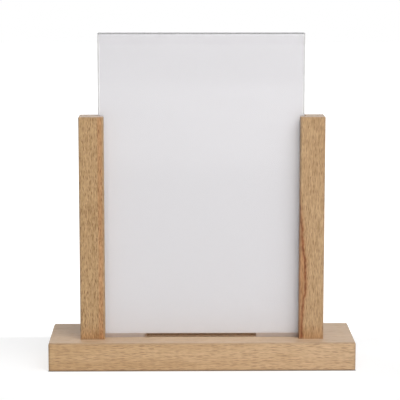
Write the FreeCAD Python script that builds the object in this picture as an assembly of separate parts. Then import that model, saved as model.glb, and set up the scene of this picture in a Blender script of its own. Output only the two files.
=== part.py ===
import FreeCAD, Part
import os

from FreeCAD import Vector

# Photo stand: a beech block, two grooved beech posts and a clear pocket that holds a sheet.
# Millimetres. X runs to the right, Y from the front to the back, Z up.
# The origin is the middle of the block's underside.

# Sheet in the pocket
sheet_width = 101.6
sheet_height = 152.4
sheet_thickness = 0.3

# Clear plates
plate_thickness = 1.5
plate_corner_radius = 0.8
plate_edge_round = 0.35

# Spacers between the plates
slot_thickness = 0.6
side_spacer_width = 0.75
bottom_spacer_height = 1.95
bottom_gap_width = 56.0
sheet_side_play = 0.15
sheet_top_inset = 0.7

# Base block
base_width = 155.0
base_depth = 45.0
base_height = 14.5
base_edge_round = 1.1

# Posts
post_side = 12.5
post_height = 113.5
post_edge_round = 0.7
post_front_setback = 8.4
groove_depth = 3.0

# How the pocket stands in the grooves, a little to the left within its play
pocket_side_play = 0.5
pocket_face_play = 0.2
pocket_shift = -0.3

# Countersunk wood screws
screw_length = 30.0
screw_shank_radius = 1.75
screw_core_radius = 1.15
screw_head_radius = 3.5
screw_head_rim = 0.3
screw_plain_length = 12.0
screw_tip_length = 3.2
screw_thread_pitch = 1.6
screw_thread_crest = 0.3
screw_recess_depth = 1.9
screw_recess_reach = 1.9
screw_recess_foot = 0.9
screw_recess_slot = 0.85
screw_hole_clearance = 0.2
screw_head_clearance = 0.1
screw_head_sink = 0.4

# Every cut runs past the surface by this much
overrun = 1.0

# Two coordinates this close are the same
same_place = 1e-6

# Sizes that follow
pocket_thickness = 2 * plate_thickness + slot_thickness
pocket_width = sheet_width + 2 * (sheet_side_play + side_spacer_width)
pocket_height = bottom_spacer_height + sheet_height + sheet_top_inset
groove_width = pocket_thickness + 2 * pocket_face_play
post_gap = pocket_width - 2 * (groove_depth - pocket_side_play)
post_inner_x = post_gap / 2
post_centre_y = -base_depth / 2 + post_front_setback + post_side / 2
post_solid_width = post_side - groove_depth
screw_x = post_inner_x + groove_depth + post_solid_width / 2
pocket_front_y = post_centre_y - pocket_thickness / 2
slot_front_y = pocket_front_y + plate_thickness
sheet_foot_z = base_height + bottom_spacer_height


def block(low, high):
    """Return the box between two opposite corners."""
    return Part.makeBox(high[0] - low[0], high[1] - low[1], high[2] - low[2], Vector(*low))


def edges_above(shape, height):
    """Return the edges whose highest end is above a height."""
    return [edge for edge in shape.Edges if max(vertex.Z for vertex in edge.Vertexes) > height]


def edges_along_y(shape):
    """Return the edges that run from the front to the back."""
    picked = []
    for edge in shape.Edges:
        box = edge.BoundBox
        if box.DiagonalLength - box.YLength < same_place:
            picked.append(edge)
    return picked


def edges_on_face_y(shape, y):
    """Return the edges that lie in the upright plane at this Y."""
    picked = []
    for edge in shape.Edges:
        if all(abs(vertex.Y - y) < same_place for vertex in edge.Vertexes):
            picked.append(edge)
    return picked


def screw_outline():
    """Return half of the screw's lengthwise section as (radius, height), the head's face at zero."""
    cone_height = screw_head_radius - screw_shank_radius
    thread_room = screw_length - screw_plain_length - screw_tip_length
    ring_count = int(thread_room / screw_thread_pitch)
    thread_flank = (screw_thread_pitch - screw_thread_crest) / 3
    outline = [
        (0, 0),
        (screw_head_radius, 0),
        (screw_head_radius, screw_head_rim),
        (screw_shank_radius, screw_head_rim + cone_height),
        (screw_shank_radius, screw_plain_length),
        (screw_core_radius, screw_plain_length),
    ]
    for ring in range(ring_count):
        foot = screw_plain_length + ring * screw_thread_pitch
        crest = foot + 2 * thread_flank
        outline.append((screw_core_radius, foot + thread_flank))
        outline.append((screw_shank_radius, crest))
        outline.append((screw_shank_radius, crest + screw_thread_crest))
        outline.append((screw_core_radius, foot + screw_thread_pitch))
    outline.append((0, screw_length))
    outline.append((0, 0))
    return outline


def screw_recess():
    """Return the tapered cross that is sunk into the screw's head."""
    taper = Part.makeCone(screw_recess_reach, screw_recess_foot, screw_recess_depth)
    half_slot = screw_recess_slot / 2
    reach = screw_recess_reach
    along_x = block((-reach, -half_slot, 0), (reach, half_slot, screw_recess_depth))
    along_y = block((-half_slot, -reach, 0), (half_slot, reach, screw_recess_depth))
    return along_x.fuse(along_y).common(taper)


def screw_at(x, y):
    """Return a countersunk wood screw, head down in the base, with its axis at x, y."""
    points = [Vector(radius, 0, height) for radius, height in screw_outline()]
    section = Part.Face(Part.makePolygon(points))
    screw = section.revolve(Vector(0, 0, 0), Vector(0, 0, 1), 360).cut(screw_recess())
    screw.translate(Vector(x, y, screw_head_sink))
    return screw


def screw_passage(x, y):
    """Return the countersunk hole that lets a screw through the base."""
    hole_radius = screw_shank_radius + screw_hole_clearance
    mouth_radius = screw_head_radius + screw_head_clearance
    cone_height = mouth_radius - hole_radius
    mouth_top = screw_head_sink + screw_head_rim
    mouth = Part.makeCylinder(mouth_radius, mouth_top + overrun, Vector(x, y, -overrun))
    cone = Part.makeCone(mouth_radius, hole_radius, cone_height, Vector(x, y, mouth_top))
    shaft_height = base_height + overrun - mouth_top
    shaft = Part.makeCylinder(hole_radius, shaft_height, Vector(x, y, mouth_top))
    return mouth.fuse([cone, shaft])


def make_base_block():
    """Return the beech block with a countersunk passage under each post."""
    half_width = base_width / 2
    half_depth = base_depth / 2
    solid = block((-half_width, -half_depth, 0), (half_width, half_depth, base_height))
    solid = solid.makeFillet(base_edge_round, solid.Edges)
    for side in (-1, 1):
        solid = solid.cut(screw_passage(side * screw_x, post_centre_y))
    return solid


def make_post(side, screw):
    """Return the post on one side (-1 left, 1 right), grooved towards the other post."""
    near = side * post_inner_x
    far = side * (post_inner_x + post_side)
    front = post_centre_y - post_side / 2
    back = post_centre_y + post_side / 2
    top = base_height + post_height
    solid = block((min(near, far), front, base_height), (max(near, far), back, top))
    solid = solid.makeFillet(post_edge_round, edges_above(solid, base_height + post_edge_round))
    groove_mouth = near - side * overrun
    groove_floor = near + side * groove_depth
    half_groove = groove_width / 2
    groove = block(
        (min(groove_mouth, groove_floor), post_centre_y - half_groove, base_height - overrun),
        (max(groove_mouth, groove_floor), post_centre_y + half_groove, top + overrun),
    )
    return solid.cut(groove).cut(screw)


def make_plate(front, outer_face):
    """Return a clear plate whose front is at this Y, with the edges of its outer face rounded."""
    left = pocket_shift - pocket_width / 2
    right = pocket_shift + pocket_width / 2
    top = base_height + pocket_height
    back = front + plate_thickness
    solid = block((left, front, base_height), (right, back, top))
    solid = solid.makeFillet(plate_corner_radius, edges_along_y(solid))
    return solid.makeFillet(plate_edge_round, edges_on_face_y(solid, outer_face))


def make_side_spacer(side):
    """Return the strip between the plates that closes the pocket on one side."""
    outer = pocket_shift + side * pocket_width / 2
    inner = outer - side * side_spacer_width
    foot = base_height + plate_corner_radius
    top = base_height + pocket_height - plate_corner_radius
    return block(
        (min(outer, inner), slot_front_y, foot),
        (max(outer, inner), slot_front_y + slot_thickness, top),
    )


def make_bottom_spacer(side):
    """Return the low strip at the pocket's foot that the sheet stands on."""
    outer = pocket_shift + side * (pocket_width / 2 - side_spacer_width)
    inner = pocket_shift + side * bottom_gap_width / 2
    return block(
        (min(outer, inner), slot_front_y, base_height),
        (max(outer, inner), slot_front_y + slot_thickness, sheet_foot_z),
    )


def make_photo_sheet():
    """Return the sheet, midway between the plates."""
    left = pocket_shift - sheet_width / 2
    right = pocket_shift + sheet_width / 2
    front = slot_front_y + (slot_thickness - sheet_thickness) / 2
    return block(
        (left, front, sheet_foot_z),
        (right, front + sheet_thickness, sheet_foot_z + sheet_height),
    )


def make_parts():
    """Return every piece under its name."""
    back_plate_y = slot_front_y + slot_thickness
    parts = {"base_block": make_base_block()}
    for name, side in (("left", -1), ("right", 1)):
        screw = screw_at(side * screw_x, post_centre_y)
        parts[name + "_post"] = make_post(side, screw)
        parts[name + "_post_screw"] = screw
        parts[name + "_side_spacer"] = make_side_spacer(side)
        parts[name + "_bottom_spacer"] = make_bottom_spacer(side)
    parts["front_plate"] = make_plate(pocket_front_y, pocket_front_y)
    parts["back_plate"] = make_plate(back_plate_y, back_plate_y + plate_thickness)
    parts["photo_sheet"] = make_photo_sheet()
    return parts


os.makedirs("parts", exist_ok=True)
for name, shape in make_parts().items():
    if not shape.isValid():
        raise ValueError(name + " is not a valid shape")
    shape.exportStep("parts/" + name + ".step")
    box = shape.optimalBoundingBox()
    print(name, len(shape.Solids), "solid", round(shape.Volume, 1), "mm3",
          [round(value, 2) for value in (box.XMin, box.YMin, box.ZMin, box.XMax, box.YMax, box.ZMax)])
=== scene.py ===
from math import cos, pi, radians, sin

import bpy
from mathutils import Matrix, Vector


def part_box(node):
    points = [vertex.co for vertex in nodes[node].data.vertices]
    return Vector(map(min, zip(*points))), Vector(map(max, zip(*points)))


# Beech photo stand with a clear pocket. Metres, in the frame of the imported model:
# X to the right, Y to the back, Z up, the origin under the middle of the base.

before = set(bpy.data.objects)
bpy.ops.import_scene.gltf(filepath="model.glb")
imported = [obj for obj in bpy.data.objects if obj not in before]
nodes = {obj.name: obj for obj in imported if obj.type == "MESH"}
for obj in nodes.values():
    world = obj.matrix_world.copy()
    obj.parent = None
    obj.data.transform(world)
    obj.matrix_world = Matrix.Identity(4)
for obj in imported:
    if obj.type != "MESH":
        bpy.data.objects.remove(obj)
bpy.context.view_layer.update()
scene = bpy.context.scene
bpy.ops.object.select_all(action="DESELECT")
print("frame loaded with", len(nodes), "nodes")


# Camera
view = {
    "place": (-0.01233, -0.86522, 0.22008),
    "down": 8.945,  # degrees below level
    "right": 0.7625,  # degrees to the right of straight ahead
    "lens": 154.59,
    "sensor": 36.0,
}

cameraData = bpy.data.cameras.new("camera")
cameraData.lens = view["lens"]
cameraData.sensor_width = view["sensor"]
cameraData.sensor_fit = "HORIZONTAL"
camera = bpy.data.objects.new("camera", cameraData)
camera.location = view["place"]
camera.rotation_euler = (radians(90 - view["down"]), 0, radians(-view["right"]))
scene.collection.objects.link(camera)
scene.camera = camera
scene.view_settings.view_transform = "Standard"
print("camera placed")


# Node helpers
def screenColour(red, green, blue):
    # a colour as it reads on screen, 0 to 255, turned into the linear value that sockets take
    parts = []
    for value in (red, green, blue):
        share = value / 255
        parts.append(share / 12.92 if share <= 0.04045 else ((share + 0.055) / 1.055) ** 2.4)
    return (*parts, 1.0)


def addNode(tree, kind, place, **settings):
    node = tree.nodes.new(kind)
    node.location = place
    for name, value in settings.items():
        setattr(node, name, value)
    return node


def feed(tree, socket, value):
    # a socket gets either a link or a plain value
    if isinstance(value, bpy.types.NodeSocket):
        tree.links.new(value, socket)
    else:
        socket.default_value = value


def calc(tree, place, operation, *values, clamp=False):
    node = addNode(tree, "ShaderNodeMath", place, operation=operation, use_clamp=clamp)
    for socket, value in zip(node.inputs, values):
        feed(tree, socket, value)
    return node.outputs[0]


def vectorCalc(tree, place, operation, *values):
    node = addNode(tree, "ShaderNodeVectorMath", place, operation=operation)
    for socket, value in zip(node.inputs, values):
        feed(tree, socket, value)
    return node.outputs["Value"] if operation == "LENGTH" else node.outputs[0]


def scaleVector(tree, place, vector, factor):
    node = addNode(tree, "ShaderNodeVectorMath", place, operation="SCALE")
    feed(tree, node.inputs[0], vector)
    feed(tree, node.inputs["Scale"], factor)
    return node.outputs[0]


def splitVector(tree, place, vector):
    node = addNode(tree, "ShaderNodeSeparateXYZ", place)
    feed(tree, node.inputs[0], vector)
    return node.outputs


def fade(tree, place, value, start, end):
    # 0 at start, 1 at end, smooth in between
    node = addNode(tree, "ShaderNodeMapRange", place, interpolation_type="SMOOTHSTEP")
    feed(tree, node.inputs["Value"], value)
    feed(tree, node.inputs["From Min"], start)
    feed(tree, node.inputs["From Max"], end)
    return node.outputs["Result"]


def rescale(tree, place, value, low, high):
    # 0 to 1 becomes low to high
    node = addNode(tree, "ShaderNodeMapRange", place)
    feed(tree, node.inputs["Value"], value)
    feed(tree, node.inputs["To Min"], low)
    feed(tree, node.inputs["To Max"], high)
    return node.outputs["Result"]


def blendColours(tree, place, factor, first, second, way="MIX"):
    node = addNode(tree, "ShaderNodeMix", place, data_type="RGBA", blend_type=way)
    feed(tree, node.inputs["Factor"], factor)
    feed(tree, node.inputs["A"], first)
    feed(tree, node.inputs["B"], second)
    return node.outputs["Result"]


def addNoise(tree, place, vector, scale=1.0, detail=2.0, dimensions="3D"):
    node = addNode(tree, "ShaderNodeTexNoise", place, noise_dimensions=dimensions)
    feed(tree, node.inputs["W" if dimensions == "1D" else "Vector"], vector)
    feed(tree, node.inputs["Scale"], scale)
    feed(tree, node.inputs["Detail"], detail)
    return node


def newGroup(name, inputs, outputs):
    tree = bpy.data.node_groups.new(name, "ShaderNodeTree")
    for label, kind, start in inputs:
        socket = tree.interface.new_socket(label, in_out="INPUT", socket_type="NodeSocket" + kind)
        socket.default_value = start
    for label, kind in outputs:
        tree.interface.new_socket(label, in_out="OUTPUT", socket_type="NodeSocket" + kind)
    given = addNode(tree, "NodeGroupInput", (-1800, 0))
    out = addNode(tree, "NodeGroupOutput", (1300, 0))
    return tree, given.outputs, out.inputs


def placeGroup(tree, group, place, values):
    node = addNode(tree, "ShaderNodeGroup", place, node_tree=group)
    for label, value in values.items():
        feed(tree, node.inputs[label], value)
    return node.outputs


def newMaterial(name):
    material = bpy.data.materials.new(name)
    material.use_nodes = True
    tree = material.node_tree
    coords = addNode(tree, "ShaderNodeTexCoord", (-1500, 0))
    return material, tree, tree.nodes["Principled BSDF"], coords.outputs["Object"]


# Shared effects
fleckLook = {
    "edge": 1.0,  # 1 is the rim of a fleck, 0 its middle
    "core": 0.5,
    "ramp": 0.45,  # how fast flecks go from empty to full
}


def makeFleckGroup():
    # one spindle-shaped fleck in each cell, some cells left empty
    tree, given, out = newGroup(
        "flecks",
        [
            ("Coordinates", "Vector", (0, 0, 0)),
            ("Cell", "Vector", (1, 1, 1)),
            ("Fleck", "Vector", (1, 1, 1)),
            ("Empty", "Float", 0.1),
        ],
        [("Mask", "Float")],
    )
    cells = vectorCalc(tree, (-1500, 0), "DIVIDE", given["Coordinates"], given["Cell"])
    voronoi = addNode(tree, "ShaderNodeTexVoronoi", (-1200, 0), voronoi_dimensions="3D", feature="F1")
    feed(tree, voronoi.inputs["Vector"], cells)
    feed(tree, voronoi.inputs["Scale"], 1.0)
    away = vectorCalc(tree, (-900, 0), "SUBTRACT", cells, voronoi.outputs["Position"])
    awayMetres = vectorCalc(tree, (-700, 0), "MULTIPLY", away, given["Cell"])
    spindle = vectorCalc(tree, (-500, 0), "DIVIDE", awayMetres, given["Fleck"])
    reach = vectorCalc(tree, (-300, 0), "LENGTH", spindle)
    inside = fade(tree, (-100, 0), reach, fleckLook["edge"], fleckLook["core"])
    chance = addNode(tree, "ShaderNodeSeparateColor", (-900, -260))
    feed(tree, chance.inputs[0], voronoi.outputs["Color"])
    full = calc(tree, (-500, -400), "ADD", given["Empty"], fleckLook["ramp"])
    amount = fade(tree, (-300, -260), chance.outputs[0], given["Empty"], full)
    feed(tree, out["Mask"], calc(tree, (300, 0), "MULTIPLY", inside, amount, clamp=True))
    return tree


def makeBoxEdgeGroup():
    # how near a point is to the edges, the sides and the ends of a box-shaped piece
    tree, given, out = newGroup(
        "boxEdges",
        [
            ("Coordinates", "Vector", (0, 0, 0)),
            ("Middle", "Vector", (0, 0, 0)),
            ("Half Size", "Vector", (1, 1, 1)),
            ("Width", "Float", 0.001),
        ],
        [("Edge", "Float"), ("Sides", "Float"), ("Ends", "Float")],
    )
    offset = vectorCalc(tree, (-1500, 0), "SUBTRACT", given["Coordinates"], given["Middle"])
    outward = vectorCalc(tree, (-1300, 0), "ABSOLUTE", offset)
    depth = vectorCalc(tree, (-1100, 0), "SUBTRACT", given["Half Size"], outward)
    depth = splitVector(tree, (-900, 0), depth)
    near = [fade(tree, (-700, 200 - 220 * axis), depth[axis], given["Width"], 0.0) for axis in range(3)]
    sideUp = calc(tree, (-400, 100), "MULTIPLY", near[0], near[2])
    sideBack = calc(tree, (-400, -60), "MULTIPLY", near[0], near[1])
    backUp = calc(tree, (-400, -220), "MULTIPLY", near[1], near[2])
    edge = calc(tree, (0, 0), "MAXIMUM", calc(tree, (-200, 0), "MAXIMUM", sideUp, sideBack), backUp)
    feed(tree, out["Edge"], edge)
    feed(tree, out["Sides"], near[0])
    feed(tree, out["Ends"], near[2])
    return tree


# How beech is drawn. Sizes are in metres, the first one along the grain.
grainLook = {
    "swayPitch": (40, 70, 70),  # waves in a metre
    "ringBend": 7.0,  # the rings curve across the piece
    "ringWidth": 0.0024,
    "ringDetail": 2.5,
    "patchPitch": (14, 90, 90),
    "toneFrom": 0.6,  # below this all pale, above the next all deep
    "toneTo": 1.4,
    "endFrom": 0.55,  # from these slopes on a face counts as sawn across
    "endTo": 0.95,
    "endDulling": 0.7,
    "flatFrom": 0.5,  # and from these as one where the rays lie flat
    "flatTo": 0.9,
    "flatFading": -0.72,
    "endFading": -0.35,
    "fibre": (0.0024, 0.0016, 0.0006),
    "fibreDetail": 1.5,
    "streak": (0.006, 0.003, 0.00075),
    "streakDetail": 0.5,
    # red changes least and blue most, so the dark fibres are warm
    "warmth": (("Red", 0.85), ("Green", 1.0), ("Blue", 1.3)),
    "smoothest": 0.38,
    "fibreRoughness": 0.14,
    "endRoughness": 0.1,
    "fleckDepth": -0.8,
}

# The flecks of the rays: long ones, a finer set between them, and pale ones
longFleck = {
    "cell": (0.0028, 0.006, 0.0008),
    "size": (0.00135, 0.0042, 0.00015),
    "empty": 0.05,
}
fineFleck = {
    "cell": (0.0018, 0.003, 0.00055),
    "size": (0.0008, 0.0021, 0.00011),
    "empty": 0.1,
    "shift": (0.0131, 0.0077, 0.0093),
    "share": 0.6,
}
paleFleck = {
    "cell": (0.003, 0.007, 0.0009),
    "size": (0.0014, 0.0049, 0.00016),
    "empty": 0.2,
    "shift": (0.0271, 0.0137, 0.0039),
}


def makeBeechGroup(flecks):
    # solid beech: X is the way of the grain, Y the way out from the heart
    tree, given, out = newGroup(
        "beechGrain",
        [
            ("Coordinates", "Vector", (0, 0, 0)),
            ("Normal", "Vector", (0, 0, 1)),
            ("Pale", "Color", (1, 1, 1, 1)),
            ("Deep", "Color", (1, 1, 1, 1)),
            ("Fleck Colour", "Color", (0, 0, 0, 1)),
            ("Light Colour", "Color", (1, 1, 1, 1)),
            ("End Colour", "Color", (1, 1, 1, 1)),
            ("Fleck Strength", "Float", 0.8),
            ("Light Flecks", "Float", 0.3),
            ("Fibre Strength", "Float", 0.3),
            ("Sway", "Float", 0.0015),
            ("Ring Width", "Float", grainLook["ringWidth"]),
        ],
        [("Colour", "Color"), ("Roughness", "Float"), ("Height", "Float")],
    )
    # the grain wanders a little across its own way
    swayCoords = vectorCalc(tree, (-1600, 300), "MULTIPLY", given["Coordinates"], grainLook["swayPitch"])
    swayNoise = addNoise(tree, (-1400, 300), swayCoords, detail=1.0)
    sway = vectorCalc(tree, (-1200, 300), "SUBTRACT", swayNoise.outputs["Color"], (0.5, 0.5, 0.5))
    sway = vectorCalc(tree, (-1000, 300), "MULTIPLY", sway, (0, 1, 1))
    sway = scaleVector(tree, (-800, 300), sway, given["Sway"])
    coords = vectorCalc(tree, (-600, 300), "ADD", given["Coordinates"], sway)

    # growth rings of uneven width, and broad soft patches
    parts = splitVector(tree, (-400, 500), coords)
    bend = calc(tree, (-200, 420), "MULTIPLY", parts["Z"], parts["Z"])
    bend = calc(tree, (-100, 420), "MULTIPLY", bend, grainLook["ringBend"])
    radius = calc(tree, (0, 500), "ADD", parts["Y"], bend)
    rings = addNoise(tree, (300, 500), calc(tree, (150, 500), "DIVIDE", radius, given["Ring Width"]),
                     detail=grainLook["ringDetail"], dimensions="1D")
    patchCoords = vectorCalc(tree, (-400, 760), "MULTIPLY", coords, grainLook["patchPitch"])
    patches = addNoise(tree, (-200, 760), patchCoords)
    tone = calc(tree, (450, 600), "ADD", rings.outputs["Fac"], patches.outputs["Fac"])
    deepShare = fade(tree, (600, 600), tone, grainLook["toneFrom"], grainLook["toneTo"])
    base = blendColours(tree, (700, 600), deepShare, given["Pale"], given["Deep"])

    # the sawn ends are a little duller, and the rays show broad and faint where they lie flat
    facing = splitVector(tree, (-400, -900), vectorCalc(tree, (-600, -900), "ABSOLUTE", given["Normal"]))
    ends = fade(tree, (-200, -900), facing["X"], grainLook["endFrom"], grainLook["endTo"])
    flat = fade(tree, (-200, -1100), facing["Z"], grainLook["flatFrom"], grainLook["flatTo"])
    dulled = calc(tree, (0, -900), "MULTIPLY", ends, grainLook["endDulling"])
    base = blendColours(tree, (850, 600), dulled, base, given["End Colour"])
    faintFlat = calc(tree, (0, -1100), "MULTIPLY_ADD", flat, grainLook["flatFading"], 1.0)
    faintEnds = calc(tree, (0, -1000), "MULTIPLY_ADD", ends, grainLook["endFading"], 1.0)
    faint = calc(tree, (150, -1000), "MULTIPLY", faintFlat, faintEnds)

    # fine fibres, and streaks a little wider and longer
    fibreCoords = vectorCalc(tree, (-400, 0), "DIVIDE", coords, grainLook["fibre"])
    fibres = addNoise(tree, (-200, 0), fibreCoords, detail=grainLook["fibreDetail"]).outputs["Fac"]
    streakCoords = vectorCalc(tree, (-400, 200), "DIVIDE", coords, grainLook["streak"])
    streaks = addNoise(tree, (-200, 200), streakCoords, detail=grainLook["streakDetail"]).outputs["Fac"]
    centred = calc(tree, (0, 0), "SUBTRACT", calc(tree, (-50, 100), "ADD", fibres, streaks), 1.0)
    fibreShade = calc(tree, (200, 0), "MULTIPLY", centred, given["Fibre Strength"])
    warmth = addNode(tree, "ShaderNodeCombineColor", (400, 0))
    for socket, weight in grainLook["warmth"]:
        feed(tree, warmth.inputs[socket], calc(tree, (300, -100), "MULTIPLY_ADD", fibreShade, weight, 1.0))
    fibred = blendColours(tree, (500, 200), 1.0, base, warmth.outputs[0], "MULTIPLY")

    # the flecks over them
    longFlecks = placeGroup(tree, flecks, (0, -300), {
        "Coordinates": coords,
        "Cell": longFleck["cell"], "Fleck": longFleck["size"], "Empty": longFleck["empty"]})
    fineFlecks = placeGroup(tree, flecks, (0, -500), {
        "Coordinates": vectorCalc(tree, (-200, -500), "ADD", coords, fineFleck["shift"]),
        "Cell": fineFleck["cell"], "Fleck": fineFleck["size"], "Empty": fineFleck["empty"]})
    paleFlecks = placeGroup(tree, flecks, (0, -700), {
        "Coordinates": vectorCalc(tree, (-200, -700), "ADD", coords, paleFleck["shift"]),
        "Cell": paleFleck["cell"], "Fleck": paleFleck["size"], "Empty": paleFleck["empty"]})
    dark = calc(tree, (300, -400), "MULTIPLY_ADD", fineFlecks["Mask"], fineFleck["share"],
                longFlecks["Mask"], clamp=True)
    darkShare = calc(tree, (500, -400), "MULTIPLY", dark, faint)
    darkShare = calc(tree, (600, -400), "MULTIPLY", darkShare, given["Fleck Strength"], clamp=True)
    lightShare = calc(tree, (500, -700), "MULTIPLY", paleFlecks["Mask"], faint)
    lightShare = calc(tree, (600, -700), "MULTIPLY", lightShare, given["Light Flecks"], clamp=True)
    flecked = blendColours(tree, (850, 300), darkShare, fibred, given["Fleck Colour"])
    lit = blendColours(tree, (950, 100), lightShare, flecked, given["Light Colour"])
    feed(tree, out["Colour"], lit)

    rough = calc(tree, (700, -300), "MULTIPLY_ADD", fibres, grainLook["fibreRoughness"],
                 grainLook["smoothest"])
    rough = calc(tree, (900, -300), "MULTIPLY_ADD", ends, grainLook["endRoughness"], rough)
    feed(tree, out["Roughness"], rough)
    feed(tree, out["Height"], calc(tree, (700, -500), "MULTIPLY_ADD", dark, grainLook["fleckDepth"], fibres))
    return tree


fleckGroup = makeFleckGroup()
boxEdgeGroup = makeBoxEdgeGroup()
beechGroup = makeBeechGroup(fleckGroup)
print("shared node groups ready")


# Beech pieces
beech = {
    "fleck": screenColour(98, 54, 16),
    "light": screenColour(208, 172, 132),
    "end": screenColour(186, 156, 122),
    # painted shade: the colour that the rounded edges are darkened towards, and the width it covers
    "edge": screenColour(140, 117, 96),
    "edgeShadeWidth": 0.0013,
    "relief": 0.00004,
    "specular": 0.45,
    "topFrom": 0.6,  # from these slopes on a face counts as the top
    "topTo": 1.0,
    "sheenGrain": 1.3,  # the painted sheen is weaker in the dark fibres and flecks
    "sheenFloor": 0.4,
}

baseWood = {
    "pale": screenColour(207, 175, 139),
    "deep": screenColour(193, 159, 121),
    "turn": (20, 0, 0),  # degrees that bring the grain to X
    "shift": (0.3, 0.11, 0.05),
    "scale": (0.6, 1, 1.2),
    "sway": 0.004,
    "fleckStrength": 0.62,
    "lightFlecks": 0.35,
    "fibreStrength": 0.38,
    # painted sheen: the paler colour that the tops are blended towards, and how much
    "top": screenColour(197, 176, 155),
    "topSheenShare": 0.52,
    # painted shade: how much the rounded edges are darkened
    "edgeShare": 0.5,
}
leftWood = {
    "pale": screenColour(190, 156, 113),
    "deep": screenColour(176, 141, 98),
    "turn": (18, 90, 0),
    "shift": (0.7, 0.02, 0.4),
    "scale": (1, 1, 1),
    "sway": 0.0008,
    "fleckStrength": 0.85,
    "lightFlecks": 0.35,
    "fibreStrength": 0.7,
    # painted sheen: the paler colour that the post top is blended towards, and how much
    "top": screenColour(212, 196, 184),
    "topSheenShare": 0.78,
    # painted shade: how much the rounded edges are darkened
    "edgeShare": 0.35,
}
rightWood = {
    "pale": screenColour(190, 157, 117),
    "deep": screenColour(177, 142, 102),
    "turn": (-15, 90, 0),
    "shift": (0.1, 0.31, 0.6),
    "scale": (1, 1, 0.8),
    "sway": 0.001,
    "fleckStrength": 0.7,
    "lightFlecks": 0.3,
    "fibreStrength": 0.65,
    # painted sheen: the paler colour that the post top is blended towards, and how much
    "top": screenColour(204, 188, 174),
    "topSheenShare": 0.72,
    # painted shade: how much the rounded edges are darkened
    "edgeShare": 0.35,
}

# A warmer stripe down the left post, near its inner edge
stripe = {
    "tint": (1.04, 0.9, 0.85, 1),
    "from": 0.0030,  # from the inner edge
    "to": 0.0008,
    "soft": 0.0004,
    "waver": 0.0010,
    "waverPitch": (0, 0, 60),  # waves in a metre
}

# The base is darker and warmer towards its left end
baseTone = {
    "left": (0.92, 0.87, 0.76, 1),
}

# Painted bounce light and shade: the posts are tinted redder and a little darker near the base, standing in
# for warm light bounced off the base top and the shade it casts there
paintedFootBounce = {
    "tint": (1.0, 0.9, 0.83, 1),
    "reach": 0.009,
}

# The dark heart streak in the lower half of the right post
heart = {
    "core": (0.48, 0.27, 0.17, 1),
    "stain": (0.92, 0.71, 0.59, 1),
    "coreWidth": 0.001,
    "coreLeast": 0.55,  # how strong the core is where it is faintest
    "patchPitch": (60, 60, 330),
    "patchFrom": 0.35,
    "patchTo": 0.6,
    "stainFrom": 0.0024,  # where the stain ends, right of the core
    "stainTo": -0.0006,  # where it is full, left of the core
    "linePitch": (1300, 500, 110),  # the stain runs in fine lines along the grain
    "lineFrom": 0.3,
    "lineTo": 0.65,
    "lineLeast": 0.55,
    "lineMost": 1.3,
    "waver": 0.0014,
    "waverPitch": (40, 40, 260),
    "foot": 0.0145,
    "top": 0.128,
    "lean": 0.35,  # how fast it goes back to the inner edge behind the front face
    "span": 8,  # the widest that the line below may swing, in millimetres
    # height above the foot, and distance from the inner edge, in millimetres
    "line": ((0, 1.3), (9, 1.5), (15, 1.9), (20, 2.2), (24, 3.0), (39, 3.0), (44, 2.2), (49, 1.5),
             (56, 1.1), (63, 0.4), (70, -0.2), (78, -1.0), (90, -2.4), (113.5, -3.6)),
}


def boxOf(name):
    low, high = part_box(name)
    return (low + high) / 2, (high - low) / 2


def addPaintedFootBounce(tree, coords, colour, foot):
    height = splitVector(tree, (-1200, 1400), coords)["Z"]
    # painted bounce light and shade near the foot of the post
    share = fade(tree, (-1000, 1400), height, foot + paintedFootBounce["reach"], foot)
    return blendColours(tree, (-800, 1400), share, colour, paintedFootBounce["tint"], "MULTIPLY")


def addStripe(tree, coords, colour):
    low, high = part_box("left_post")
    colour = addPaintedFootBounce(tree, coords, colour, low.z)
    parts = splitVector(tree, (-1200, 900), coords)
    waverCoords = vectorCalc(tree, (-1350, 700), "MULTIPLY", coords, stripe["waverPitch"])
    waver = addNoise(tree, (-1200, 700), waverCoords)
    inward = calc(tree, (-1000, 900), "SUBTRACT", high.x, parts["X"])
    inward = calc(tree, (-850, 900), "MULTIPLY_ADD", waver.outputs["Fac"], stripe["waver"], inward)
    outer = fade(tree, (-700, 1000), inward, stripe["from"] + stripe["soft"] + stripe["waver"] / 2,
                 stripe["from"] - stripe["soft"] + stripe["waver"] / 2)
    inner = fade(tree, (-700, 800), inward, stripe["to"] + stripe["waver"] / 2 - stripe["soft"] / 2,
                 stripe["to"] + stripe["waver"] / 2 + stripe["soft"] / 2)
    share = calc(tree, (-550, 900), "MULTIPLY", outer, inner)
    return blendColours(tree, (-200, 600), share, colour, stripe["tint"], "MULTIPLY")


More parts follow.
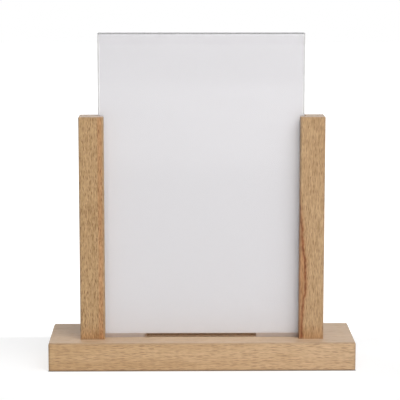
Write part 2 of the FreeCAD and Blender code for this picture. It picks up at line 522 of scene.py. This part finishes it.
def addHeart(tree, coords, colour):
    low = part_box("right_post")[0]
    colour = addPaintedFootBounce(tree, coords, colour, low.z)
    parts = splitVector(tree, (-1600, 900), coords)
    height = heart["top"] - heart["foot"]
    along = calc(tree, (-1500, 1000), "SUBTRACT", parts["Z"], heart["foot"])
    along = calc(tree, (-1400, 1000), "DIVIDE", along, height)

    # the curve holds the line's distances, with 0.5 for none
    curve = addNode(tree, "ShaderNodeFloatCurve", (-1200, 1000))
    feed(tree, curve.inputs["Value"], along)
    points = curve.mapping.curves[0].points
    while len(points) < len(heart["line"]):
        points.new(0.5, 0.5)
    for point, (up, distance) in zip(points, heart["line"]):
        point.location = (up / 1000 / height, 0.5 + distance / heart["span"])
    curve.mapping.update()
    span = heart["span"] / 1000
    waverCoords = vectorCalc(tree, (-1350, 700), "MULTIPLY", coords, heart["waverPitch"])
    waver = addNoise(tree, (-1200, 700), waverCoords)
    centre = calc(tree, (-1000, 1000), "MULTIPLY_ADD", curve.outputs[0], span, -span / 2 - heart["waver"] / 2)
    centre = calc(tree, (-850, 1000), "MULTIPLY_ADD", waver.outputs["Fac"], heart["waver"], centre)
    behind = calc(tree, (-1150, 850), "SUBTRACT", parts["Y"], low.y)
    behind = calc(tree, (-1000, 850), "MULTIPLY", behind, heart["lean"])
    offset = calc(tree, (-850, 900), "SUBTRACT", parts["X"], low.x)
    offset = calc(tree, (-700, 900), "SUBTRACT", offset, centre)
    offset = calc(tree, (-600, 900), "ADD", offset, behind)
    core = fade(tree, (-450, 1000), calc(tree, (-550, 1000), "ABSOLUTE", offset), heart["coreWidth"], 0.0)

    stain = fade(tree, (-450, 800), offset, heart["stainFrom"], heart["stainTo"])
    lineCoords = vectorCalc(tree, (-1350, 300), "MULTIPLY", coords, heart["linePitch"])
    lines = addNoise(tree, (-1200, 300), lineCoords, detail=1.0).outputs["Fac"]
    lines = fade(tree, (-750, 300), lines, heart["lineFrom"], heart["lineTo"])
    lines = rescale(tree, (-600, 300), lines, heart["lineLeast"], heart["lineMost"])
    stain = calc(tree, (-350, 800), "MULTIPLY", stain, lines)
    stained = blendColours(tree, (-250, 700), stain, colour, heart["stain"], "MULTIPLY")

    patchCoords = vectorCalc(tree, (-1350, 500), "MULTIPLY", coords, heart["patchPitch"])
    patchy = addNoise(tree, (-1200, 500), patchCoords).outputs["Fac"]
    patchy = fade(tree, (-600, 1200), patchy, heart["patchFrom"], heart["patchTo"])
    depth = rescale(tree, (-450, 1200), patchy, heart["coreLeast"], 1.0)
    core = calc(tree, (-250, 1000), "MULTIPLY", core, depth)
    return blendColours(tree, (-100, 700), core, stained, heart["core"], "MULTIPLY")


def addBaseTone(tree, coords, colour):
    low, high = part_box("base_block")
    along = addNode(tree, "ShaderNodeMapRange", (-1000, 900))
    feed(tree, along.inputs["Value"], splitVector(tree, (-1200, 900), coords)["X"])
    feed(tree, along.inputs["From Min"], low.x)
    feed(tree, along.inputs["From Max"], high.x)
    deeper = blendColours(tree, (-800, 900), along.outputs["Result"], baseTone["left"], (1, 1, 1, 1))
    return blendColours(tree, (-500, 700), 1.0, colour, deeper, "MULTIPLY")


def makeBeechMaterial(name, piece, wood, extra=None):
    material, tree, shader, coords = newMaterial(name)
    turn = [radians(angle) for angle in wood["turn"]]
    turned = addNode(tree, "ShaderNodeMapping", (-1200, 100))
    feed(tree, turned.inputs["Vector"], coords)
    turned.inputs["Rotation"].default_value = turn
    turned.inputs["Location"].default_value = wood["shift"]
    turned.inputs["Scale"].default_value = wood["scale"]
    turnedNormal = addNode(tree, "ShaderNodeMapping", (-1200, -300), vector_type="NORMAL")
    feed(tree, turnedNormal.inputs["Vector"], coords.node.outputs["Normal"])
    turnedNormal.inputs["Rotation"].default_value = turn
    grain = placeGroup(tree, beechGroup, (-900, 100), {
        "Coordinates": turned.outputs[0],
        "Normal": turnedNormal.outputs[0],
        "Pale": wood["pale"],
        "Deep": wood["deep"],
        "Fleck Colour": beech["fleck"],
        "Light Colour": beech["light"],
        "End Colour": beech["end"],
        "Fleck Strength": wood["fleckStrength"],
        "Light Flecks": wood["lightFlecks"],
        "Fibre Strength": wood["fibreStrength"],
        "Sway": wood["sway"],
    })
    colour = grain["Colour"]
    if extra:
        colour = extra(tree, coords, colour)

    # painted sheen: the tops are blended towards a paler, greyer colour, standing in for the reflection of
    # the bright surroundings seen at a grazing angle
    upward = splitVector(tree, (-900, 600), coords.node.outputs["Normal"])["Z"]
    up = fade(tree, (-700, 600), upward, beech["topFrom"], beech["topTo"])
    paintedSheen = calc(tree, (-800, 450), "MULTIPLY_ADD", grain["Height"], beech["sheenGrain"], beech["sheenFloor"],
                clamp=True)
    paintedSheen = calc(tree, (-700, 450), "MULTIPLY", paintedSheen, wood["topSheenShare"])
    paintedSheen = calc(tree, (-600, 500), "MULTIPLY", up, paintedSheen)
    colour = blendColours(tree, (-500, 400), paintedSheen, colour, wood["top"])

    # painted shade: the rounded edges are blended towards a darker, greyer colour, standing in for the shade
    # that falls on them
    middle, half = boxOf(piece)
    edges = placeGroup(tree, boxEdgeGroup, (-900, -400), {
        "Coordinates": coords, "Middle": middle, "Half Size": half, "Width": beech["edgeShadeWidth"]})
    edgeShare = calc(tree, (-600, -400), "MULTIPLY", edges["Edge"], wood["edgeShare"])
    feed(tree, shader.inputs["Base Color"], blendColours(tree, (-400, 100), edgeShare, colour, beech["edge"]))
    feed(tree, shader.inputs["Roughness"], grain["Roughness"])
    bump = addNode(tree, "ShaderNodeBump", (-400, -300))
    feed(tree, bump.inputs["Height"], grain["Height"])
    bump.inputs["Distance"].default_value = beech["relief"]
    feed(tree, shader.inputs["Normal"], bump.outputs[0])
    shader.inputs["Specular IOR Level"].default_value = beech["specular"]
    return material


baseMaterial = makeBeechMaterial("beechBase", "base_block", baseWood, addBaseTone)
leftMaterial = makeBeechMaterial("beechLeftPost", "left_post", leftWood, addStripe)
rightMaterial = makeBeechMaterial("beechRightPost", "right_post", rightWood, addHeart)
print("beech ready")


# Clear plates
acrylic = {
    "colour": (0.985, 0.99, 0.99, 1),
    "paintedTopShade": (0.47, 0.47, 0.47, 1),  # painted shade: a dark line just under the top, over the sheet's top edge, standing in for the shade seen there
    "topBandFrom": 0.0004,
    "topBandTo": 0.00078,
    "topBandSoft": 0.0002,
    # painted shade: the side rims are tinted darker, standing in for the dimmer look through the plates' side
    # edges
    "sideRimShade": (0.76, 0.77, 0.77, 1),
    "edgeFace": (0.42, 0.45, 0.45, 1),  # the sawn edges, seen from the side or from above
    "edgeFaceFrom": 0.6,  # from these slopes on a face counts as an edge
    "edgeFaceTo": 0.2,
    "rimWidth": 0.0011,
    "foot": (0.59, 0.46, 0.35, 1),  # painted shade: the open stretch at the foot, tinted brown to stand in for the sheet's shadow on the wood behind, seen through the gap
    "footFrom": 0.00209,  # it fades in between these heights
    "footTo": 0.00152,
    "footShift": -0.0004,
    "footHalf": 0.0287,
    "footSoft": 0.0018,
    "roughness": 0.02,
    "rimRoughness": 0.12,
    "ior": 1.49,
    "through": (0.97, 0.972, 0.972, 1),
    "turns": 4.5,  # a ray that has turned more often goes straight on
}


def makeAcrylicMaterial(name, piece):
    material, tree, shader, coords = newMaterial(name)
    middle, half = boxOf(piece)
    edges = placeGroup(tree, boxEdgeGroup, (-1000, 0), {
        "Coordinates": coords, "Middle": middle, "Half Size": half, "Width": acrylic["rimWidth"]})
    # painted shade on the side rims
    colour = blendColours(tree, (-600, 100), edges["Sides"], acrylic["colour"], acrylic["sideRimShade"])
    facing = vectorCalc(tree, (-1600, 600), "ABSOLUTE", coords.node.outputs["Normal"])
    facing = splitVector(tree, (-1400, 600), facing)["Y"]
    edgeShare = fade(tree, (-1200, 600), facing, acrylic["edgeFaceFrom"], acrylic["edgeFaceTo"])
    colour = blendColours(tree, (-500, 250), edgeShare, colour, acrylic["edgeFace"])

    # painted shade: the dark line under the top
    parts = splitVector(tree, (-1200, -300), coords)
    below = calc(tree, (-1000, 300), "SUBTRACT", middle.z + half.z, parts["Z"])
    soft = acrylic["topBandSoft"] / 2
    bandTop = fade(tree, (-800, 400), below, acrylic["topBandFrom"] - soft, acrylic["topBandFrom"] + soft)
    bandFoot = fade(tree, (-800, 250), below, acrylic["topBandTo"] + soft, acrylic["topBandTo"] - soft)
    band = calc(tree, (-600, 300), "MULTIPLY", bandTop, bandFoot)
    colour = blendColours(tree, (-400, 100), band, colour, acrylic["paintedTopShade"])

    # painted shade: the open stretch at the foot, standing in for the sheet's shadow on the wood behind
    foot = middle.z - half.z
    low = fade(tree, (-900, -300), parts["Z"], foot + acrylic["footFrom"], foot + acrylic["footTo"])
    across = calc(tree, (-1200, -500), "SUBTRACT", parts["X"], middle.x + acrylic["footShift"])
    across = calc(tree, (-1050, -500), "ABSOLUTE", across)
    between = fade(tree, (-900, -500), across, acrylic["footHalf"] + acrylic["footSoft"] / 2,
                   acrylic["footHalf"] - acrylic["footSoft"] / 2)
    shaded = calc(tree, (-700, -400), "MULTIPLY", low, between)
    colour = blendColours(tree, (-250, 100), shaded, colour, acrylic["foot"])
    feed(tree, shader.inputs["Base Color"], colour)
    rough = rescale(tree, (-500, -200), edges["Ends"], acrylic["roughness"], acrylic["rimRoughness"])
    feed(tree, shader.inputs["Roughness"], rough)
    shader.inputs["IOR"].default_value = acrylic["ior"]
    shader.inputs["Transmission Weight"].default_value = 1.0

    # lamps and bounced light go straight through, and no ray is caught for good between the faces
    path = addNode(tree, "ShaderNodeLightPath", (-500, 500))
    straight = calc(tree, (-300, 500), "MAXIMUM",
                    path.outputs["Is Shadow Ray"], path.outputs["Is Diffuse Ray"])
    caught = calc(tree, (-300, 650), "GREATER_THAN", path.outputs["Ray Depth"], acrylic["turns"])
    straight = calc(tree, (-100, 500), "MAXIMUM", straight, caught)
    clear = addNode(tree, "ShaderNodeBsdfTransparent", (0, -300))
    clear.inputs["Color"].default_value = acrylic["through"]
    mix = addNode(tree, "ShaderNodeMixShader", (300, 100))
    feed(tree, mix.inputs[0], straight)
    feed(tree, mix.inputs[1], shader.outputs[0])
    feed(tree, mix.inputs[2], clear.outputs[0])
    feed(tree, tree.nodes["Material Output"].inputs["Surface"], mix.outputs[0])
    return material


# Translucent spacers
spacer = {
    "side": screenColour(238, 236, 237),
    # painted shade: the bottom strips are the same translucent stuff as the side ones, coloured darker and
    # browner to stand in for the shade and the reflected base at the foot
    "bottom": screenColour(204, 186, 176),
    "sideThrough": 0.1,
    "bottomThrough": 0.35,
    "haze": screenColour(200, 192, 186),
    "hazeShare": 0.4,
    "grain": 0.0012,
    "roughness": 0.45,
    "ior": 1.49,
}


def makeSpacerMaterial(name, colour, transmission):
    material, tree, shader, coords = newMaterial(name)
    cloud = addNoise(tree, (-700, 0), coords, scale=1 / spacer["grain"])
    share = calc(tree, (-550, 0), "MULTIPLY", cloud.outputs["Fac"], spacer["hazeShare"])
    feed(tree, shader.inputs["Base Color"], blendColours(tree, (-400, 0), share, colour, spacer["haze"]))
    shader.inputs["Roughness"].default_value = spacer["roughness"]
    shader.inputs["Transmission Weight"].default_value = transmission
    shader.inputs["IOR"].default_value = spacer["ior"]
    return material


# Paper
paper = {
    "white": screenColour(227, 224, 227),
    "shade": screenColour(221, 218, 221),
    "roughness": 0.62,
    "fibre": 0.0006,
    "detail": 4.0,
    "relief": 0.00002,
}


def makePaperMaterial():
    material, tree, shader, coords = newMaterial("whitePaper")
    fibre = addNoise(tree, (-700, 0), coords, scale=1 / paper["fibre"], detail=paper["detail"])
    feed(tree, shader.inputs["Base Color"], blendColours(
        tree, (-400, 0), fibre.outputs["Fac"], paper["white"], paper["shade"]))
    bump = addNode(tree, "ShaderNodeBump", (-400, -300))
    feed(tree, bump.inputs["Height"], fibre.outputs["Fac"])
    bump.inputs["Distance"].default_value = paper["relief"]
    feed(tree, shader.inputs["Normal"], bump.outputs[0])
    shader.inputs["Roughness"].default_value = paper["roughness"]
    return material


# Zinc screws
zinc = {
    "bright": screenColour(206, 206, 203),
    "dull": screenColour(168, 168, 164),
    "grain": 0.00035,
    "detail": 3.0,
    "smooth": 0.2,
    "rough": 0.5,
}


def makeZincMaterial():
    material, tree, shader, coords = newMaterial("screwZinc")
    cloud = addNoise(tree, (-700, 0), coords, scale=1 / zinc["grain"], detail=zinc["detail"]).outputs["Fac"]
    colour = blendColours(tree, (-400, 0), cloud, zinc["bright"], zinc["dull"])
    feed(tree, shader.inputs["Base Color"], colour)
    feed(tree, shader.inputs["Roughness"], rescale(tree, (-400, -200), cloud, zinc["smooth"], zinc["rough"]))
    shader.inputs["Metallic"].default_value = 1.0
    return material


sideSpacer = makeSpacerMaterial("spacerSide", spacer["side"], spacer["sideThrough"])
shadedBottomSpacer = makeSpacerMaterial("spacerBottomShaded", spacer["bottom"], spacer["bottomThrough"])
zincMaterial = makeZincMaterial()
finishes = {
    "base_block": baseMaterial,
    "left_post": leftMaterial,
    "right_post": rightMaterial,
    "front_plate": makeAcrylicMaterial("acrylicFront", "front_plate"),
    "back_plate": makeAcrylicMaterial("acrylicBack", "back_plate"),
    "photo_sheet": makePaperMaterial(),
}
for side in ("left", "right"):
    finishes[side + "_side_spacer"] = sideSpacer
    finishes[side + "_bottom_spacer"] = shadedBottomSpacer
    finishes[side + "_post_screw"] = zincMaterial
for name, material in finishes.items():
    node = nodes[name]
    if not node.material_slots:
        node.data.materials.append(material)
    for slot in node.material_slots:
        slot.material = material
print("materials on", len(finishes), "nodes")


# Floor
floorLook = {
    "size": 5.0,
    "colour": (0.9, 0.9, 0.9, 1),
    "seenColour": (0.4, 0.4, 0.4, 1),  # with the lift below, a soft shadow on white
    "roughness": 0.9,
    "specular": 0.2,
    "lift": 0.68,
    "contact": 0.0003,  # the lift starts this far from the base
    "whiteFrom": 0.02,  # behind the base the floor turns to plain white
    "whiteTo": 0.068,
    "farFrom": 0.35,
    "farTo": 0.9,
}


def seenDirectly(tree, place):
    # 1 for rays from the camera, and for those seen in gloss or through glass
    path = addNode(tree, "ShaderNodeLightPath", place)
    bent = calc(tree, (place[0] + 150, place[1]), "MAXIMUM",
                path.outputs["Is Glossy Ray"], path.outputs["Is Transmission Ray"])
    return calc(tree, (place[0] + 300, place[1]), "MAXIMUM", path.outputs["Is Camera Ray"], bent)


bpy.ops.mesh.primitive_plane_add(size=floorLook["size"], location=(0, 0, 0))
floor = bpy.context.active_object
floor.name = "floor"
floorMaterial, tree, shader, coords = newMaterial("floorWhite")
shader.inputs["Roughness"].default_value = floorLook["roughness"]
shader.inputs["Specular IOR Level"].default_value = floorLook["specular"]
shader.inputs["Emission Color"].default_value = (1, 1, 1, 1)
seen = seenDirectly(tree, (-900, 500))
feed(tree, shader.inputs["Base Color"], blendColours(
    tree, (-300, 500), seen, floorLook["colour"], floorLook["seenColour"]))
half = boxOf("base_block")[1]
flat = vectorCalc(tree, (-1300, 0), "MULTIPLY", coords, (1, 1, 0))
beside = vectorCalc(tree, (-1150, 0), "ABSOLUTE", flat)
beside = vectorCalc(tree, (-1000, 0), "SUBTRACT", beside, (half.x, half.y, 0))
beside = vectorCalc(tree, (-850, 0), "MAXIMUM", beside, (0, 0, 0))
beside = vectorCalc(tree, (-700, 0), "LENGTH", beside)
near = fade(tree, (-550, 0), beside, 0.0, floorLook["contact"])
near = calc(tree, (-400, 0), "MULTIPLY", near, floorLook["lift"])
back = fade(tree, (-550, -200), splitVector(tree, (-700, -200), coords)["Y"],
            floorLook["whiteFrom"], floorLook["whiteTo"])
far = fade(tree, (-550, -400), vectorCalc(tree, (-700, -400), "LENGTH", coords),
           floorLook["farFrom"], floorLook["farTo"])
white = calc(tree, (-400, -300), "MAXIMUM", back, far)
lift = calc(tree, (-250, 0), "MAXIMUM", near, white)
feed(tree, shader.inputs["Emission Strength"], calc(tree, (-100, 200), "MULTIPLY", seen, lift))
floor.data.materials.append(floorMaterial)
print("floor ready")


# World: white behind everything, and a plain low level of light all round
worldLook = {
    "light": 0.04,
}

world = bpy.data.worlds.new("studio")
scene.world = world
world.use_nodes = True
tree = world.node_tree
around = tree.nodes["Background"]
around.inputs["Color"].default_value = (1, 1, 1, 1)
around.inputs["Strength"].default_value = worldLook["light"]
behind = addNode(tree, "ShaderNodeBackground", (0, -200))
behind.inputs["Color"].default_value = (1, 1, 1, 1)
behind.inputs["Strength"].default_value = 1.0
mix = addNode(tree, "ShaderNodeMixShader", (250, 100))
feed(tree, mix.inputs[0], seenDirectly(tree, (-500, 300)))
feed(tree, mix.inputs[1], around.outputs[0])
feed(tree, mix.inputs[2], behind.outputs[0])
feed(tree, tree.nodes["World Output"].inputs["Surface"], mix.outputs[0])


# Lamps, each by its direction from the stand: degrees from the front to the right, degrees up
aim = Vector((0, 0, 0.07))
lamps = {
    "keyRight": {"turn": 45, "up": 40, "away": 1.2, "size": (1.0, 1.0), "level": 0.62},
    "overhead": {"turn": 0, "up": 62, "away": 2.4, "size": (2.4, 1.4), "level": 0.4},
    "fillFront": {"turn": 8, "up": 14, "away": 1.6, "size": (0.8, 0.8), "level": 0.185},
    "fillBack": {"turn": -140, "up": 6, "away": 1.6, "size": (0.8, 0.3), "level": 0.6},
}

for name, lamp in lamps.items():
    turn, up = radians(lamp["turn"]), radians(lamp["up"])
    offset = Vector((sin(turn) * cos(up), -cos(turn) * cos(up), sin(up))) * lamp["away"]
    data = bpy.data.lights.new(name, "AREA")
    data.shape = "RECTANGLE"
    data.size, data.size_y = lamp["size"]
    data.energy = lamp["level"] * (pi * lamp["away"]) ** 2  # level 1 lights a white card to white
    piece = bpy.data.objects.new(name, data)
    piece.location = aim + offset
    piece.rotation_euler = (-offset).to_track_quat("-Z", "Y").to_euler()
    piece.visible_camera = False
    piece.visible_glossy = False
    scene.collection.objects.link(piece)
print("lamps ready")
